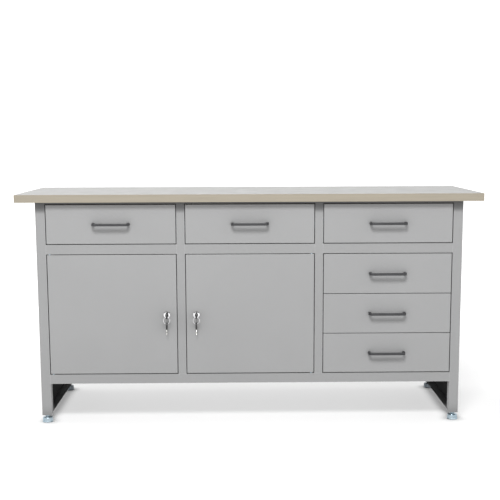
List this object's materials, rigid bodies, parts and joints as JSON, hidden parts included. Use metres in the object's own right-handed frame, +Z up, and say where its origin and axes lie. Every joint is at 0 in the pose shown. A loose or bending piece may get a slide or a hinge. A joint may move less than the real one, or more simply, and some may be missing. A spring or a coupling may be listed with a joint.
{
  "type": "workbench with drawers",
  "caption": "Steel workbench with a laminated wooden top, lockable cupboards with shelves, drawers on telescopic slides and levelling feet.",
  "frame": {"origin": "on the floor under the centre of the worktop", "axes": "+X along the bench to the user's right, +Y from the front to the back, +Z up"},
  "size_m": [1.7, 0.6045, 0.85],
  "materials": {
    "worktop_laminate": "satin laminate",
    "edge_band": "satin",
    "frame_paint": "semi-gloss powder coat",
    "front_paint": "semi-gloss powder coat",
    "zinc_plate": "bright zinc plated",
    "lock_chrome": "polished",
    "handle_black": "satin black",
    "key_plastic": "satin black"
  },
  "bodies": {
    "bench": {"worktop_board": "worktop_laminate", "worktop_edge_band": "edge_band", "worktop_screws": "zinc_plate", "front_legs": "frame_paint", "rear_legs": "frame_paint", "leg_inserts": "zinc_plate", "middle_posts": "frame_paint", "top_rails": "frame_paint", "mid_rails": "frame_paint", "bottom_rails": "frame_paint", "side_panel_left": "frame_paint", "side_panel_right": "frame_paint", "back_panel": "frame_paint", "cabinet_floor": "frame_paint", "cabinet_walls": "frame_paint", "shelves": "frame_paint", "shelf_clips": "zinc_plate", "foot_lock_nuts": "zinc_plate", "hinge_pins": "zinc_plate", "slide_outer_members": "zinc_plate"},
    "foot_front_left": {"foot_front_left": "zinc_plate"},
    "foot_front_right": {"foot_front_right": "zinc_plate"},
    "foot_rear_left": {"foot_rear_left": "zinc_plate"},
    "foot_rear_right": {"foot_rear_right": "zinc_plate"},
    "door_left": {"door_left": "front_paint", "lock_housing_left": "lock_chrome"},
    "lock_left": {"lock_cam_left": "lock_chrome"},
    "key_left": {"key_left": "key_plastic"},
    "ring_left": {"key_ring_left": "lock_chrome"},
    "spare_left": {"spare_key_left": "key_plastic"},
    "door_right": {"door_right": "front_paint", "lock_housing_right": "lock_chrome"},
    "lock_right": {"lock_cam_right": "lock_chrome"},
    "key_right": {"key_right": "key_plastic"},
    "ring_right": {"key_ring_right": "lock_chrome"},
    "spare_right": {"spare_key_right": "key_plastic"},
    "drawer_upper_left": {"drawer_upper_left": "front_paint", "handle_upper_left": "handle_black", "slide_inner_upper_left": "zinc_plate"},
    "slide_upper_left": {"slide_middle_upper_left": "zinc_plate"},
    "drawer_upper_middle": {"drawer_upper_middle": "front_paint", "handle_upper_middle": "handle_black", "slide_inner_upper_middle": "zinc_plate"},
    "slide_upper_middle": {"slide_middle_upper_middle": "zinc_plate"},
    "drawer_upper_right": {"drawer_upper_right": "front_paint", "handle_upper_right": "handle_black", "slide_inner_upper_right": "zinc_plate"},
    "slide_upper_right": {"slide_middle_upper_right": "zinc_plate"},
    "drawer_lower_bottom": {"drawer_lower_bottom": "front_paint", "handle_lower_bottom": "handle_black", "slide_inner_lower_bottom": "zinc_plate"},
    "slide_lower_bottom": {"slide_middle_lower_bottom": "zinc_plate"},
    "drawer_lower_middle": {"drawer_lower_middle": "front_paint", "handle_lower_middle": "handle_black", "slide_inner_lower_middle": "zinc_plate"},
    "slide_lower_middle": {"slide_middle_lower_middle": "zinc_plate"},
    "drawer_lower_top": {"drawer_lower_top": "front_paint", "handle_lower_top": "handle_black", "slide_inner_lower_top": "zinc_plate"},
    "slide_lower_top": {"slide_middle_lower_top": "zinc_plate"}
  },
  "joints": [
    {"name": "foot_front_left_height", "type": "slide", "parent": "bench", "child": "foot_front_left", "axis": [0, 0, -1], "range_m": [0, 0.02]},
    {"name": "foot_front_right_height", "type": "slide", "parent": "bench", "child": "foot_front_right", "axis": [0, 0, -1], "range_m": [0, 0.02]},
    {"name": "foot_rear_left_height", "type": "slide", "parent": "bench", "child": "foot_rear_left", "axis": [0, 0, -1], "range_m": [0, 0.02]},
    {"name": "foot_rear_right_height", "type": "slide", "parent": "bench", "child": "foot_rear_right", "axis": [0, 0, -1], "range_m": [0, 0.02]},
    {"name": "door_left_hinge", "type": "hinge", "parent": "bench", "child": "door_left", "pos_m": [-0.7325, -0.2685, 0.183], "axis": [0, 0, -1], "range_deg": [0, 105]},
    {"name": "lock_left_turn", "type": "hinge", "parent": "door_left", "child": "lock_left", "pos_m": [-0.30783, -0.274, 0.405], "axis": [0, -1, 0], "range_deg": [0, 90]},
    {"name": "key_left_pull", "type": "slide", "parent": "lock_left", "child": "key_left", "axis": [0, -1, 0], "range_m": [0, 0.025]},
    {"name": "ring_left_swing", "type": "hinge", "parent": "key_left", "child": "ring_left", "pos_m": [-0.30783, -0.2945, 0.3995], "axis": [1, 0, 0], "range_deg": [-45, 8]},
    {"name": "spare_left_swing", "type": "hinge", "parent": "ring_left", "child": "spare_left", "pos_m": [-0.30783, -0.2945, 0.3755], "axis": [1, 0, 0], "range_deg": [-30, 8]},
    {"name": "door_right_hinge", "type": "hinge", "parent": "bench", "child": "door_right", "pos_m": [0.22583, -0.2685, 0.183], "axis": [0, 0, 1], "range_deg": [0, 90]},
    {"name": "lock_right_turn", "type": "hinge", "parent": "door_right", "child": "lock_right", "pos_m": [-0.19883, -0.274, 0.405], "axis": [0, 1, 0], "range_deg": [0, 90]},
    {"name": "key_right_pull", "type": "slide", "parent": "lock_right", "child": "key_right", "axis": [0, -1, 0], "range_m": [0, 0.025]},
    {"name": "ring_right_swing", "type": "hinge", "parent": "key_right", "child": "ring_right", "pos_m": [-0.19883, -0.2945, 0.3995], "axis": [1, 0, 0], "range_deg": [-45, 8]},
    {"name": "spare_right_swing", "type": "hinge", "parent": "ring_right", "child": "spare_right", "pos_m": [-0.19883, -0.2945, 0.3755], "axis": [1, 0, 0], "range_deg": [-30, 8]},
    {"name": "drawer_upper_left_slide", "type": "slide", "parent": "bench", "child": "drawer_upper_left", "axis": [0, -1, 0], "range_m": [0, 0.4]},
    {"name": "slide_upper_left_follow", "type": "slide", "parent": "bench", "child": "slide_upper_left", "axis": [0, -1, 0], "range_m": [0, 0.2]},
    {"name": "drawer_upper_middle_slide", "type": "slide", "parent": "bench", "child": "drawer_upper_middle", "axis": [0, -1, 0], "range_m": [0, 0.4]},
    {"name": "slide_upper_middle_follow", "type": "slide", "parent": "bench", "child": "slide_upper_middle", "axis": [0, -1, 0], "range_m": [0, 0.2]},
    {"name": "drawer_upper_right_slide", "type": "slide", "parent": "bench", "child": "drawer_upper_right", "axis": [0, -1, 0], "range_m": [0, 0.4]},
    {"name": "slide_upper_right_follow", "type": "slide", "parent": "bench", "child": "slide_upper_right", "axis": [0, -1, 0], "range_m": [0, 0.2]},
    {"name": "drawer_lower_bottom_slide", "type": "slide", "parent": "bench", "child": "drawer_lower_bottom", "axis": [0, -1, 0], "range_m": [0, 0.4]},
    {"name": "slide_lower_bottom_follow", "type": "slide", "parent": "bench", "child": "slide_lower_bottom", "axis": [0, -1, 0], "range_m": [0, 0.2]},
    {"name": "drawer_lower_middle_slide", "type": "slide", "parent": "bench", "child": "drawer_lower_middle", "axis": [0, -1, 0], "range_m": [0, 0.4]},
    {"name": "slide_lower_middle_follow", "type": "slide", "parent": "bench", "child": "slide_lower_middle", "axis": [0, -1, 0], "range_m": [0, 0.2]},
    {"name": "drawer_lower_top_slide", "type": "slide", "parent": "bench", "child": "drawer_lower_top", "axis": [0, -1, 0], "range_m": [0, 0.4]},
    {"name": "slide_lower_top_follow", "type": "slide", "parent": "bench", "child": "slide_lower_top", "axis": [0, -1, 0], "range_m": [0, 0.2]}
  ],
  "couplings": [
    {"joint": "slide_upper_left_follow", "follows": "drawer_upper_left_slide", "ratio": 0.5},
    {"joint": "slide_upper_middle_follow", "follows": "drawer_upper_middle_slide", "ratio": 0.5},
    {"joint": "slide_upper_right_follow", "follows": "drawer_upper_right_slide", "ratio": 0.5},
    {"joint": "slide_lower_bottom_follow", "follows": "drawer_lower_bottom_slide", "ratio": 0.5},
    {"joint": "slide_lower_middle_follow", "follows": "drawer_lower_middle_slide", "ratio": 0.5},
    {"joint": "slide_lower_top_follow", "follows": "drawer_lower_top_slide", "ratio": 0.5}
  ]
}
